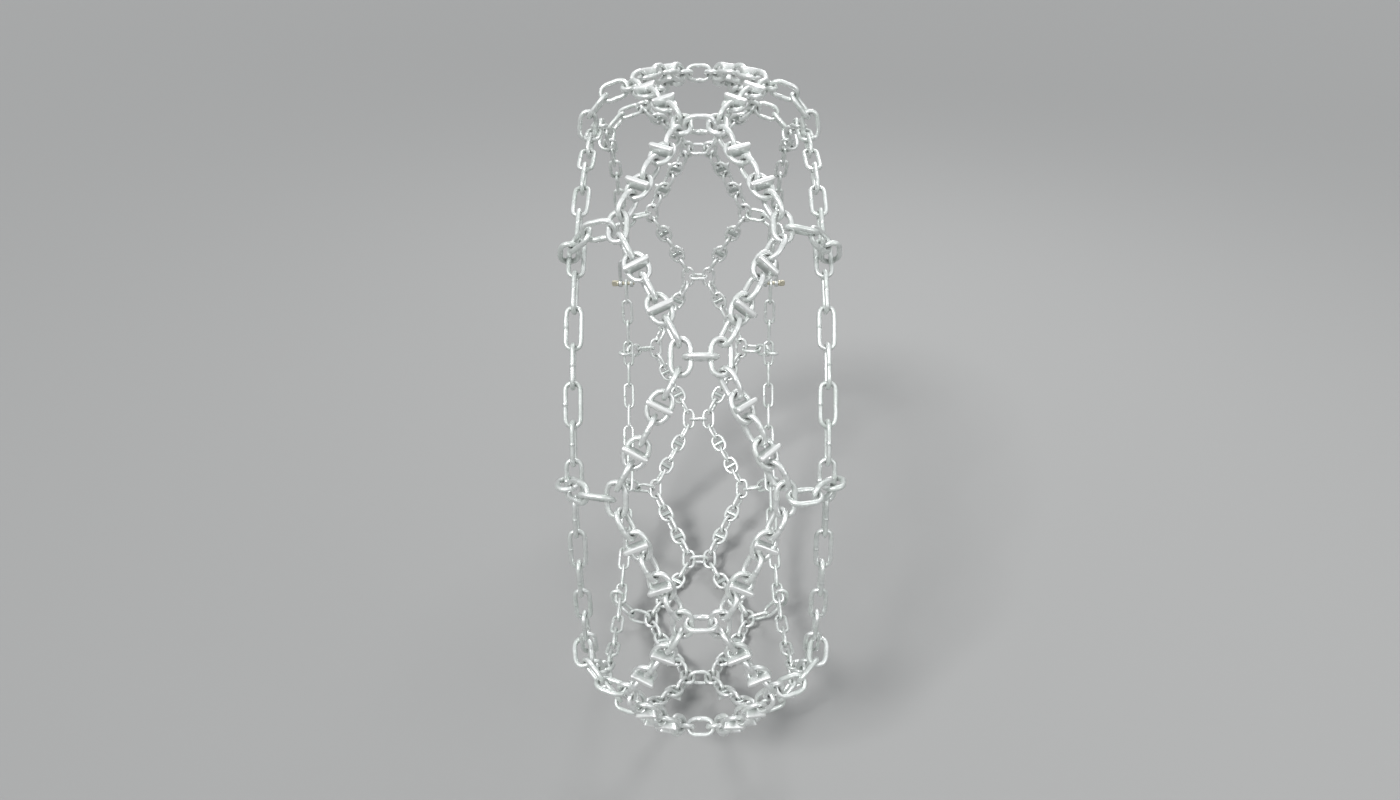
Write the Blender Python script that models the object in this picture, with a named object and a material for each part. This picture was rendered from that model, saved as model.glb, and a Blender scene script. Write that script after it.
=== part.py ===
"""Forklift tyre chain: a diamond net of welded links over the tread, held by a side chain on each side.

The chain is modelled in its fitted shape, +Z up, with the origin at the wheel's centre and the axle along
Y. An angle on the wheel starts at +X and rises towards +Z. Lengths are metres.

Every link is a closed ring of wire. Its centreline is a polygon drawn round the real link's straight sides
and round ends, and its wire is a square bar of the same cross-section area as the round wire. Neighbouring
links lie as two round wires that touch, and inside one strand the two crowns that press on each other are
welded face to face, so that a strand is one closed solid.
"""
import math

import bmesh
import bpy
import numpy as np
from mathutils import Matrix, Vector

MM = 0.001

# The wheel that the chain fits, and the net's layout on its crowned tread
TYRE_RADIUS = 418 * MM
CROWN_RADIUS = 330 * MM
DIAMONDS = 10
OUTER_JUNCTION_OFFSET = 79 * MM
STUDS_PER_LEG = 2

# Tread chain: wire, outer widths and inner lengths of its links
TREAD_WIRE = 5.7 * MM
PLAIN_WIDTH = 24 * MM
STUDDED_WIDTH = 26 * MM
JUNCTION_WIDTH = 24 * MM
JUNCTION_LENGTH = 28 * MM
CENTRE_LENGTH = 24.3 * MM

# Stud: a rib across the link, wide at its foot and narrow at its ridge
STUD_FOOT = 9.5 * MM
STUD_RIDGE = 5 * MM
STUD_HEIGHT = 7.5 * MM
STUD_OVERHANG = 0.8 * MM

# Side tie: three links that wrap over the tyre's shoulder
TIE_LENGTH = 27 * MM
TIE_WIDTH = 24 * MM
TIE_START_ANGLE = 20
TIE_TURN = 30

# Side chains
SIDE_WIRE = 5 * MM
SIDE_WIDTH = 20 * MM
SIDE_PAIRS_PER_DIAMOND = 3
ARC_LETTERS = "abc"

# Screw-pin shackle that closes each side chain, on the side away from the view
SHACKLE_DIAMOND = 4
SHACKLE_WIRE = 6 * MM
SHACKLE_INNER_WIDTH = 13 * MM
SHACKLE_EYE_RADIUS = 6.5 * MM
SHACKLE_PLAY = 0.5 * MM
PIN_DIAMETER = 6 * MM
PIN_CLEARANCE = 0.35 * MM
PIN_TAIL = 2 * MM
PIN_COLLAR_RADIUS = 5 * MM
PIN_COLLAR_LENGTH = 3 * MM
PIN_WING_LENGTH = 9 * MM
PIN_WING_WIDTH = 11 * MM
PIN_WING_THICKNESS = 3.5 * MM

# A round wire and the square bar that stands for it have the same cross-section area
SQUARE_SHARE = math.sqrt(math.pi) / 4
CHAMFER_ANGLE = 55
CENTRE_CHAMFER_ANGLE = 60
ROUND_SIDES = 16

# Worked out from the sizes above
NET_RADIUS = TYRE_RADIUS + PLAIN_WIDTH / 2
PITCH_ANGLE = 2 * math.pi / DIAMONDS
LINKS_PER_LEG = 2 * STUDS_PER_LEG + 1
SIDE_LINKS_PER_DIAMOND = 2 * SIDE_PAIRS_PER_DIAMOND
SIDE_LINKS = DIAMONDS * SIDE_LINKS_PER_DIAMOND
SIDE_STEP = 2 * math.pi / SIDE_LINKS

# The two ends of a link, named by the way they face in its own plane, in degrees
FAR, NEAR = 0, 180
SIDES = (("left", -1), ("right", 1))


def end_arc_radius(width, wire):
    """Radius of the wire's centreline round the end of a link."""
    return (width - wire) / 2


def end_arc_centre(length, width, wire):
    """Distance from a link's middle to the centre of its end arc."""
    return (length + wire) / 2 - end_arc_radius(width, wire)


def radial(angle):
    """Unit vector out of the wheel's centre at an angle on the wheel."""
    return Vector((math.cos(angle), 0, math.sin(angle)))


def along(angle):
    """Unit vector along the tread at an angle on the wheel."""
    return Vector((-math.sin(angle), 0, math.cos(angle)))


def meridional(degrees, side):
    """Unit vector in the wheel's cross-section at angle 0: 0 points outboard, and 90 points at the hub."""
    turn = math.radians(degrees)
    return Vector((-math.sin(turn), side * math.cos(turn), 0))


def frame_at(middle, axis, normal):
    """Matrix of a link: its long axis, its width and the normal of its plane, at its middle."""
    axis = axis.normalized()
    across = normal.cross(axis).normalized()
    matrix = Matrix((axis, across, axis.cross(across))).transposed().to_4x4()
    matrix.translation = middle
    return matrix


def facet_corner(first, second):
    """Point where two straight facets meet; each is a normal angle in radians and a distance outward."""
    (turn_a, reach_a), (turn_b, reach_b) = first, second
    scale = 1 / math.sin(turn_b - turn_a)
    x = (reach_a * math.sin(turn_b) - reach_b * math.sin(turn_a)) * scale
    y = (reach_b * math.cos(turn_a) - reach_a * math.cos(turn_b)) * scale
    return x, y


def ring_sections(length, width, wire, ends, foot):
    """Corner sections of a link in its own plane: an outer and an inner point, and the facet after them."""
    half_bar = wire * SQUARE_SHARE
    arc = end_arc_radius(width, wire)
    centre = end_arc_centre(length, width, wire)
    facets = sorted(list(ends) + [90, 270], key=lambda degrees: (degrees + 89) % 360)
    sections = []
    for facet, following in zip(facets, facets[1:] + facets[:1]):
        points = []
        for offset in (half_bar, -half_bar):
            lines = []
            for degrees in (facet, following):
                turn = math.radians(degrees)
                lines.append((turn, centre * abs(math.cos(turn)) + arc + offset))
            points.append(facet_corner(*lines))
        sections.append((points[0], points[1], following))
        if foot and following in (90, 270):
            outward = 1 if following == 90 else -1
            for x in (outward * foot / 2, -outward * foot / 2):
                outer = (x, outward * (arc + half_bar))
                inner = (x, outward * (arc - half_bar))
                sections.append((outer, inner, "foot" if x * outward > 0 else following))
    return sections


def add_link(mesh, frame, length, width, wire, ends=(FAR, NEAR), lean=None, studded=False):
    """Add one link to the mesh and return the inner face of each facet of its ends.

    ends lists the normal angles of the facets that the ends have. lean turns the bar at an end about its
    own line, so that its inner face looks straight at a neighbour that pulls out of the link's plane.
    """
    half_bar = wire * SQUARE_SHARE
    sections = ring_sections(length, width, wire, ends, STUD_FOOT if studded else 0)
    corners = []
    for outer, inner, facet in sections:
        corners.append([Vector((*outer, half_bar)), Vector((*outer, -half_bar)),
                        Vector((*inner, -half_bar)), Vector((*inner, half_bar))])
    for end, turn in (lean or {}).items():
        reach = (length + wire) / 2 * (1 if end == FAR else -1)
        pivot = Vector((reach, 0, 0))
        tilt = Matrix.Translation(pivot) @ Matrix.Rotation(-turn, 4, "Y") @ Matrix.Translation(-pivot)
        for section, (outer, _, _) in zip(corners, sections):
            if outer[0] * reach > 0:
                section[:] = [tilt @ point for point in section]
    rows = [[mesh.verts.new(frame @ point) for point in section] for section in corners]
    inner_faces = {}
    foot_faces = []
    for index, (row, following) in enumerate(zip(rows, rows[1:] + rows[:1])):
        facet = sections[index][2]
        for edge in range(4):
            other = (edge + 1) % 4
            face = mesh.faces.new((row[edge], row[other], following[other], following[edge]))
            if facet == "foot" and edge in (2, 3):
                foot_faces.append(face)
            elif edge == 2:
                inner_faces[facet] = face
    if studded:
        add_stud(mesh, frame, foot_faces, half_bar, width)
    return inner_faces


def join_faces(mesh, first, second):
    """Weld two four-sided faces that look at each other by walls between their edges; return the walls."""
    near = list(first.verts)
    far = list(reversed(second.verts))
    mesh.faces.remove(first)
    mesh.faces.remove(second)
    turns = [far[step:] + far[:step] for step in range(4)]
    far = min(turns, key=lambda turn: sum((a.co - b.co).length for a, b in zip(near, turn)))
    walls = []
    for step in range(4):
        other = (step + 1) % 4
        walls.append(mesh.faces.new((near[step], near[other], far[other], far[step])))
    return walls


def add_stud(mesh, frame, foot_faces, half_bar, width):
    """Join the link's two sides by a bar at mid-length and raise the bar's top into a tapered rib."""
    turned = frame.inverted()
    inner = [face for face in foot_faces if abs((turned @ face.calc_center_median()).z) < half_bar / 2]
    tops = [face for face in foot_faces if face not in inner]
    walls = join_faces(mesh, *inner)
    tops.append(max(walls, key=lambda face: (turned @ face.calc_center_median()).z))
    rim = [edge for face in tops for edge in face.edges]
    rim = [edge for edge in set(rim) if sum(edge in face.edges for face in tops) == 1]
    for face in tops:
        mesh.faces.remove(face)
    half_ridge = STUD_RIDGE / 2
    reach = width / 2 + STUD_OVERHANG
    height = half_bar + STUD_HEIGHT
    ridge = {}
    for sign_x in (1, -1):
        for sign_y in (1, -1):
            point = Vector((sign_x * half_ridge, sign_y * reach, height))
            ridge[sign_x, sign_y] = mesh.verts.new(frame @ point)
    mesh.faces.new((ridge[1, 1], ridge[-1, 1], ridge[-1, -1], ridge[1, -1]))
    for edge in rim:
        near, far = (turned @ vert.co for vert in edge.verts)
        across = abs(near.x - far.x) > half_ridge
        for vert, here, there in ((edge.verts[0], near, far), (edge.verts[1], far, near)):
            if across and here.x > there.x:
                sign_y = 1 if here.y > 0 else -1
                mesh.faces.new((vert, edge.other_vert(vert), ridge[-1, sign_y], ridge[1, sign_y]))
        if not across:
            sign_x = 1 if near.x > 0 else -1
            add_rib_side(mesh, edge, near, far, ridge, sign_x)


def add_rib_side(mesh, edge, near, far, ridge, sign_x):
    """One piece of the rib's long side: the middle run carries the whole ridge, an end run one corner."""
    if near.y * far.y < 0:
        low, high = (edge.verts[0], edge.verts[1]) if near.y < far.y else (edge.verts[1], edge.verts[0])
        mesh.faces.new((low, high, ridge[sign_x, 1], ridge[sign_x, -1]))
    else:
        mesh.faces.new((edge.verts[0], edge.verts[1], ridge[sign_x, 1 if near.y > 0 else -1]))


def finish(mesh, name, origin=Vector()):
    """Turn a bmesh into mesh data with its faces outward and its zero point at the given origin."""
    bmesh.ops.recalc_face_normals(mesh, faces=mesh.faces)
    bmesh.ops.translate(mesh, verts=mesh.verts, vec=-origin)
    data = bpy.data.meshes.new(name)
    mesh.to_mesh(data)
    mesh.free()
    data.set_sharp_from_angle(angle=math.radians(30))
    return data


def zinc(name, colour, roughness):
    """Zinc-plated steel."""
    material = bpy.data.materials.new(name)
    material.use_nodes = True
    shader = material.node_tree.nodes["Principled BSDF"]
    shader.inputs["Base Color"].default_value = (*colour, 1)
    shader.inputs["Metallic"].default_value = 1
    shader.inputs["Roughness"].default_value = roughness
    return material


def place(name, data, location=Vector(), turn=0):
    """Add an object at a location, turned about the axle by an angle on the wheel."""
    piece = bpy.data.objects.new(name, data)
    piece.location = location
    piece.rotation_euler = (0, -turn, 0)
    bpy.context.scene.collection.objects.link(piece)
    return piece


def dress(piece, steel, parent):
    """Give a piece its steel and hang it under the net's middle."""
    if not piece.data.materials:
        piece.data.materials.append(steel)
    piece.parent = parent


def junction_offset():
    """Distance of a centre junction link's middle from the tread's centre line."""
    return (CENTRE_LENGTH - TREAD_WIRE) / 2 + end_arc_radius(JUNCTION_WIDTH, TREAD_WIRE)


def crown_radius(offset):
    """Radius of the net at an offset from the tread's centre line, where the tread's crown has fallen."""
    return NET_RADIUS - CROWN_RADIUS + (CROWN_RADIUS ** 2 - offset ** 2) ** 0.5


def on_tread(turn, offset):
    """Point of the net at an angle on the wheel and an offset across the tread."""
    return crown_radius(offset) * radial(turn) + Vector((0, offset, 0))


def tread_normal(turn, offset):
    """Unit vector out of the crowned tread."""
    slope = math.asin(offset / CROWN_RADIUS)
    return math.cos(slope) * radial(turn) + Vector((0, math.sin(slope), 0))


def leg_stops():
    """Angles and offsets where the links of a leg meet, from a centre junction link to an outer one.

    The leg is a straight line on the flattened tread between the arc centres of the two junction links, and
    its links take equal steps of the way over the crown.
    """
    reach = end_arc_centre(JUNCTION_LENGTH, JUNCTION_WIDTH, TREAD_WIRE)
    first, last = junction_offset(), OUTER_JUNCTION_OFFSET
    first_turn = reach / crown_radius(first)
    last_turn = PITCH_ANGLE / 2 - reach / crown_radius(last)
    samples = 200
    turns = np.linspace(first_turn, last_turn, samples)
    offsets = np.linspace(first, last, samples)
    radii = crown_radius(offsets)
    path = np.stack((radii * np.cos(turns), offsets, radii * np.sin(turns)))
    way = np.cumsum(np.linalg.norm(np.diff(path, prepend=path[:, :1]), axis=0))
    inside = end_arc_radius(JUNCTION_WIDTH, TREAD_WIRE) - TREAD_WIRE / 2
    stops = np.linspace(inside, way[-1] - inside, LINKS_PER_LEG + 1)
    return list(zip(np.interp(stops, way, turns).tolist(), np.interp(stops, way, offsets).tolist()))


def add_leg(mesh, stops):
    """Add a leg through its stops on the tread; plain and studded links take turns."""
    links = []
    for step, (near, far) in enumerate(zip(stops, stops[1:])):
        start, end = on_tread(*near), on_tread(*far)
        axis = (end - start).normalized()
        outward = tread_normal((near[0] + far[0]) / 2, (near[1] + far[1]) / 2)
        studded = step % 2 == 1
        frame = frame_at((start + end) / 2, axis, outward if studded else axis.cross(outward))
        width = STUDDED_WIDTH if studded else PLAIN_WIDTH
        links.append(add_link(mesh, frame, (end - start).length, width, TREAD_WIRE, studded=studded))
    for near, far in zip(links, links[1:]):
        join_faces(mesh, near[FAR], far[NEAR])
    return links


def add_junction(mesh, turn, offset, pulled_to):
    """Add a junction link whose end facets face the leg that runs to a point; return it and two facets."""
    frame = frame_at(on_tread(turn, offset), along(turn), tread_normal(turn, offset))
    reach = end_arc_centre(JUNCTION_LENGTH, JUNCTION_WIDTH, TREAD_WIRE)
    pull = frame.inverted() @ pulled_to - Vector((reach, 0, 0))
    pulled = math.degrees(math.atan2(pull.y, pull.x))
    ends = (pulled, -pulled, 180 - pulled, 180 + pulled)
    faces = add_link(mesh, frame, JUNCTION_LENGTH, JUNCTION_WIDTH, TREAD_WIRE, ends)
    return faces, pulled, 180 - pulled


def tread_strand(side):
    """One strand: a centre junction link, a leg out, the outer junction link and a leg back inboard."""
    mesh = bmesh.new()
    stops_out = [(turn, side * offset) for turn, offset in leg_stops()]
    stops_back = [(PITCH_ANGLE - turn, offset) for turn, offset in reversed(stops_out)]
    centre, centre_far, _ = add_junction(mesh, 0, side * junction_offset(), on_tread(*stops_out[0]))
    outer, outer_far, outer_near = add_junction(mesh, PITCH_ANGLE / 2, side * OUTER_JUNCTION_OFFSET,
                                                on_tread(*stops_back[0]))
    out = add_leg(mesh, stops_out)
    back = add_leg(mesh, stops_back)
    join_faces(mesh, centre[centre_far], out[0][NEAR])
    join_faces(mesh, out[-1][FAR], outer[outer_near])
    join_faces(mesh, outer[outer_far], back[0][NEAR])
    return finish(mesh, f"tread_strand_{side}")


def centre_link():
    """The upright link across the tread's centre line that ties a left and a right junction link."""
    mesh = bmesh.new()
    origin = Vector((NET_RADIUS, 0, 0))
    frame = frame_at(origin, Vector((0, 1, 0)), Vector((0, 0, 1)))
    chamfer = CENTRE_CHAMFER_ANGLE
    ends = (-chamfer, FAR, chamfer, 180 - chamfer, NEAR, 180 + chamfer)
    add_link(mesh, frame, CENTRE_LENGTH, PLAIN_WIDTH, TREAD_WIRE, ends)
    return finish(mesh, "centre_link", origin)


def tie_anchor(side):
    """Wire centre of the outer junction link's outboard side, where a side tie hangs, at angle 0."""
    slope = math.degrees(math.asin(OUTER_JUNCTION_OFFSET / CROWN_RADIUS))
    outboard = meridional(slope, side)
    return on_tread(0, side * OUTER_JUNCTION_OFFSET) + end_arc_radius(JUNCTION_WIDTH, TREAD_WIRE) * outboard


def tie_layout(side):
    """Middles and directions of a side tie's three links, and the wire centre that it holds."""
    first, second, third = (meridional(TIE_START_ANGLE + step * TIE_TURN, side) for step in range(3))
    upper = meridional(TIE_START_ANGLE + TIE_TURN / 2, side)
    lower = meridional(TIE_START_ANGLE + 3 * TIE_TURN / 2, side)
    arc = end_arc_radius(TIE_WIDTH, TREAD_WIRE)
    half = (TIE_LENGTH + TREAD_WIRE) / 2
    hook = tie_anchor(side) - TREAD_WIRE * first
    middles = [hook + half * first]
    hook = hook + (2 * half - arc) * first + (arc - TREAD_WIRE) * upper
    middles.append(hook + half * second)
    hook = hook + 2 * half * second + (arc - TREAD_WIRE) * lower
    middles.append(hook + (half - arc) * third)
    hook = hook + (2 * half - arc) * third
    return middles, (first, second, third), hook - (TREAD_WIRE + SIDE_WIRE) / 2 * third


def side_tie(side):
    """Three links that wrap over the tyre's shoulder from an outer junction link to the side chain."""
    mesh = bmesh.new()
    middles, directions, _ = tie_layout(side)
    forward = Vector((0, 0, side))
    half_turn = TIE_TURN / 2
    upright = (TIE_LENGTH, TIE_WIDTH, TREAD_WIRE)
    first = add_link(mesh, frame_at(middles[0], directions[0], forward), *upright,
                     ends=(-half_turn, CHAMFER_ANGLE, NEAR))
    outward = forward.cross(directions[1])
    second = add_link(mesh, frame_at(middles[1], directions[1], outward), *upright,
                      lean={FAR: -math.radians(half_turn), NEAR: math.radians(half_turn)})
    third = add_link(mesh, frame_at(middles[2], directions[2], forward), *upright,
                     ends=(FAR, 180 - CHAMFER_ANGLE, 180 + half_turn))
    join_faces(mesh, first[-half_turn], second[NEAR])
    join_faces(mesh, second[FAR], third[180 + half_turn])
    return finish(mesh, f"side_tie_{side}", tie_anchor(side))


def side_layout(side):
    """Offset of the side chain from the wheel's middle plane, and the radius where its links meet."""
    _, _, held = tie_layout(side)
    offset = held.y - side * end_arc_radius(SIDE_WIDTH, SIDE_WIRE)
    return offset, held.x / math.cos(SIDE_STEP / 2)


def side_frame(place_number, side):
    """Frame of a side link, counted from the one that the first tie holds; every second stands upright."""
    offset, radius = side_layout(side)
    turn = PITCH_ANGLE / 2 + place_number * SIDE_STEP
    middle = radius * math.cos(SIDE_STEP / 2) * radial(turn) + Vector((0, offset, 0))
    flat = place_number % 2 == 0
    return frame_at(middle, along(turn), radial(turn) if flat else Vector((0, 1, 0)))


def side_length(side):
    """Inner length of a side link, or of the shackle that takes one link's place."""
    return 2 * side_layout(side)[1] * math.sin(SIDE_STEP / 2)


def shackle_place():
    """Number of the side link whose place the shackle takes: the first flat link past a tied one."""
    return SIDE_LINKS_PER_DIAMOND * SHACKLE_DIAMOND + 2


def side_arc(side, number):
    """One run of side chain links between shackle and shackle, ready to hang on its neighbours."""
    mesh = bmesh.new()
    count = SIDE_LINKS - 1
    first = shackle_place() + 1 + number * count // len(ARC_LETTERS)
    last = shackle_place() + 1 + (number + 1) * count // len(ARC_LETTERS)
    length = side_length(side)
    links = [add_link(mesh, side_frame(place_number, side), length, SIDE_WIDTH, SIDE_WIRE)
             for place_number in range(first, last)]
    for near, far in zip(links, links[1:]):
        join_faces(mesh, near[FAR], far[NEAR])
    return finish(mesh, f"side_chain_{side}_{number}")


def shackle_frame(side):
    """Frame of the shackle: along its legs, along its pin with + outboard, and out of the wheel."""
    frame = side_frame(shackle_place(), side)
    if (frame.to_3x3() @ Vector((0, 1, 0))).y * side < 0:
        frame = frame @ Matrix.Rotation(math.pi, 4, "X")
    return frame


def eye_reach():
    """Distance from the shackle's middle plane to the outer face of its eyes."""
    return SHACKLE_INNER_WIDTH / 2 + SHACKLE_WIRE


def pin_centre(side):
    """Distance from the shackle's middle to its pin, along the legs."""
    return (side_length(side) + PIN_DIAMETER) / 2


def shackle_bow(name, side):
    """The bow: a bar bent round the crown in half a circle, and two eyes for the pin."""
    frame = shackle_frame(side)
    half_bar = SHACKLE_WIRE * SQUARE_SHARE
    arc = (SHACKLE_INNER_WIDTH + SHACKLE_WIRE) / 2
    centre = arc - (side_length(side) + SHACKLE_WIRE) / 2 - SHACKLE_PLAY
    mesh = bmesh.new()
    outline = [(pin_centre(side), -1)]
    steps = ROUND_SIDES // 2
    outline += [(centre - arc * math.sin(math.pi * k / steps), -math.cos(math.pi * k / steps))
                for k in range(steps + 1)]
    outline.append((pin_centre(side), 1))
    rows = []
    for index, (x, lateral) in enumerate(outline):
        turn = math.pi * min(max(index - 1, 0), steps) / steps
        away = Vector((-math.sin(turn), -math.cos(turn), 0))
        point = Vector((x, lateral * arc, 0))
        row = []
        for out, up in ((1, 1), (1, -1), (-1, -1), (-1, 1)):
            corner = point + half_bar * out * away + Vector((0, 0, half_bar * up))
            row.append(mesh.verts.new(frame @ corner))
        rows.append(row)
    for row, following in zip(rows, rows[1:]):
        for edge in range(4):
            other = (edge + 1) % 4
            mesh.faces.new((row[edge], row[other], following[other], following[edge]))
    mesh.faces.new(rows[0])
    mesh.faces.new(rows[-1])
    bow = place(name, finish(mesh, name, frame.translation), frame.translation)
    pin_frame = frame @ Matrix.Translation((pin_centre(side), 0, 0))
    for sign in (1, -1):
        ends = sorted((sign * SHACKLE_INNER_WIDTH / 2, sign * eye_reach()))
        boolean(bow, round_bar(pin_frame, SHACKLE_EYE_RADIUS, *ends), "UNION")
    hole_reach = eye_reach() + PIN_TAIL
    hole = round_bar(pin_frame, PIN_DIAMETER / 2 + PIN_CLEARANCE, -hole_reach, hole_reach)
    boolean(bow, hole, "DIFFERENCE")
    return bow


def round_bar(frame, radius, low, high):
    """A round bar along a frame's width axis, from one distance to another, for a Boolean to use up."""
    mesh = bmesh.new()
    turned = frame @ Matrix.Rotation(-math.pi / 2, 4, "X") @ Matrix.Translation((0, 0, (low + high) / 2))
    bmesh.ops.create_cone(mesh, cap_ends=True, segments=ROUND_SIDES, radius1=radius, radius2=radius,
                          depth=high - low, matrix=turned)
    return place("round_bar", finish(mesh, "round_bar"))


def boolean(piece, other, operation):
    """Apply a Boolean to a piece, and remove the solid that it uses up."""
    modifier = piece.modifiers.new(operation, "BOOLEAN")
    modifier.operation = operation
    modifier.object = other
    bpy.context.view_layer.update()
    graph = bpy.context.evaluated_depsgraph_get()
    old = piece.data
    piece.data = bpy.data.meshes.new_from_object(piece.evaluated_get(graph))
    piece.modifiers.clear()
    spare = other.data
    bpy.data.objects.remove(other)
    bpy.data.meshes.remove(old)
    bpy.data.meshes.remove(spare)


def shackle_pin(name, side):
    """The screw pin: a round shank through both eyes, a collar, and a flat wing to turn it by."""
    frame = shackle_frame(side) @ Matrix.Translation((pin_centre(side), 0, 0))
    collar_start = eye_reach() + PIN_CLEARANCE
    wing_start = collar_start + PIN_COLLAR_LENGTH
    mesh = bmesh.new()
    profile = ((0, -eye_reach() - PIN_TAIL), (PIN_DIAMETER / 2, -eye_reach() - PIN_TAIL),
               (PIN_DIAMETER / 2, collar_start), (PIN_COLLAR_RADIUS, collar_start),
               (PIN_COLLAR_RADIUS, wing_start), (0, wing_start))
    points = [mesh.verts.new(frame @ Vector((radius, along_pin, 0))) for radius, along_pin in profile]
    edges = [mesh.edges.new(pair) for pair in zip(points, points[1:])]
    across = frame.to_3x3() @ Vector((0, 1, 0))
    bmesh.ops.spin(mesh, geom=points + edges, cent=frame.translation, axis=across, angle=2 * math.pi,
                   steps=ROUND_SIDES, use_merge=True)
    bmesh.ops.remove_doubles(mesh, verts=mesh.verts, dist=PIN_CLEARANCE / 100)
    pin = place(name, finish(mesh, name, frame.translation), frame.translation)
    wing = bmesh.new()
    wing_root = wing_start - PIN_COLLAR_LENGTH / 2
    wing_tip = wing_start + PIN_WING_LENGTH
    size = Matrix.Diagonal((PIN_WING_WIDTH, wing_tip - wing_root, PIN_WING_THICKNESS, 1))
    middle = Matrix.Translation((0, (wing_root + wing_tip) / 2, 0))
    bmesh.ops.create_cube(wing, size=1, matrix=frame @ middle @ size)
    boolean(pin, place("wing", finish(wing, "wing")), "UNION")
    return pin


def main():
    for old in list(bpy.data.objects):
        bpy.data.objects.remove(old)
    net = bpy.data.objects.new("net_centre", None)
    bpy.context.scene.collection.objects.link(net)
    tread_steel = zinc("zinc_tread_chain", (0.66, 0.68, 0.67), 0.38)
    centre_steel = zinc("zinc_centre_link", (0.70, 0.71, 0.70), 0.36)
    tie_steel = zinc("zinc_side_tie", (0.64, 0.66, 0.65), 0.40)
    side_steel = zinc("zinc_side_chain", (0.60, 0.63, 0.61), 0.42)
    bow_steel = zinc("zinc_shackle_bow", (0.58, 0.60, 0.59), 0.45)
    pin_steel = zinc("zinc_shackle_pin", (0.72, 0.70, 0.62), 0.35)
    centre = centre_link()
    for number in range(DIAMONDS):
        turn = number * PITCH_ANGLE
        link = place(f"centre_link_{number + 1:02d}", centre, NET_RADIUS * radial(turn), turn)
        dress(link, centre_steel, net)
    for side_name, side in SIDES:
        strand = tread_strand(side)
        tie = side_tie(side)
        anchor = tie_anchor(side)
        for number in range(DIAMONDS):
            turn = number * PITCH_ANGLE
            dress(place(f"tread_strand_{side_name}_{number + 1:02d}", strand, turn=turn), tread_steel, net)
            turn += PITCH_ANGLE / 2
            hook = anchor.x * radial(turn) + Vector((0, anchor.y, 0))
            dress(place(f"side_tie_{side_name}_{number + 1:02d}", tie, hook, turn), tie_steel, net)
        for number, letter in enumerate(ARC_LETTERS):
            dress(place(f"side_chain_{side_name}_{letter}", side_arc(side, number)), side_steel, net)
        dress(shackle_bow(f"shackle_bow_{side_name}", side), bow_steel, net)
        dress(shackle_pin(f"shackle_pin_{side_name}", side), pin_steel, net)


main()
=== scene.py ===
"""Looks of the forklift tyre chain: round-wire links with butt welds and rib studs, and their zinc plate.

Lengths are metres. The chain has its fitted shape, +Z up, and runs round the Y axis with its middle at the
origin. An angle round the net starts at +X and rises towards +Z. Every fine piece is a set of surfaces
worked out with numpy, each a function of two parameters, such as the way round a link and round its wire.
"""
import math

import bpy
import numpy as np
from mathutils import Matrix, Vector


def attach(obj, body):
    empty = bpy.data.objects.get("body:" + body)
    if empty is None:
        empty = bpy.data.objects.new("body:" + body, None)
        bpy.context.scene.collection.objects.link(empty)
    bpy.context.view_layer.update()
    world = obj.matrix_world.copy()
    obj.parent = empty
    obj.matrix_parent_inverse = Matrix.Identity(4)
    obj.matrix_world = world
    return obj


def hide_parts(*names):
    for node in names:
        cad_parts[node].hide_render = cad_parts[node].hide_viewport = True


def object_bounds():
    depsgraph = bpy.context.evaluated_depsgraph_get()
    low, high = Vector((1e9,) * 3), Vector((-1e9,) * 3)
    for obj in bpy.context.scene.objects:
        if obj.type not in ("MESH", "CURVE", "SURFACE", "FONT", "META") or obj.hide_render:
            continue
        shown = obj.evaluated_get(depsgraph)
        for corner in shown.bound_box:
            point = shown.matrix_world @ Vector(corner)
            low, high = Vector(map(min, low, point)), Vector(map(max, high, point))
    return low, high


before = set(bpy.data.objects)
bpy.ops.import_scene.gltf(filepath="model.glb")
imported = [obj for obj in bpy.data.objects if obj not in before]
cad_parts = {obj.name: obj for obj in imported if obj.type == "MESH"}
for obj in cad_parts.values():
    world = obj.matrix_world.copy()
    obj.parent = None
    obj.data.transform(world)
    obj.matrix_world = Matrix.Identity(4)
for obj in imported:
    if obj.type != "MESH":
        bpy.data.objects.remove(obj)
cad_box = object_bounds()

MM = 0.001
SIDES = (("left", -1), ("right", 1))

# Net and links, in the same sizes as the solids
NET_INNER_RADIUS = 418 * MM
CROWN_RADIUS = 330 * MM
DIAMONDS = 10
OUTER_JUNCTION_OFFSET = 79 * MM
STUDS_PER_LEG = 2
TREAD_WIRE = 5.7 * MM
PLAIN_WIDTH = 24 * MM
STUDDED_WIDTH = 26 * MM
JUNCTION_WIDTH = 24 * MM
JUNCTION_LENGTH = 28 * MM
CENTRE_LENGTH = 24.3 * MM
TIE_LENGTH = 27 * MM
TIE_WIDTH = 24 * MM
TIE_START_ANGLE = 20
TIE_TURN = 30
SIDE_WIRE = 5 * MM
SIDE_WIDTH = 20 * MM
SIDE_PAIRS_PER_DIAMOND = 3
ARC_LETTERS = "abc"

# Bow of the shackle that closes a side chain; the rim is how far an eye's edge is rounded, and the corner is
# the share of it by which the middle of the round lies in from a sharp edge
SHACKLE_DIAMOND = 4
SHACKLE_WIRE = 6 * MM
SHACKLE_INNER_WIDTH = 13 * MM
SHACKLE_EYE_RADIUS = 6.5 * MM
SHACKLE_PLAY = 0.5 * MM
EYE_RIM = 0.9 * MM
EYE_CORNER = 0.3

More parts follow.
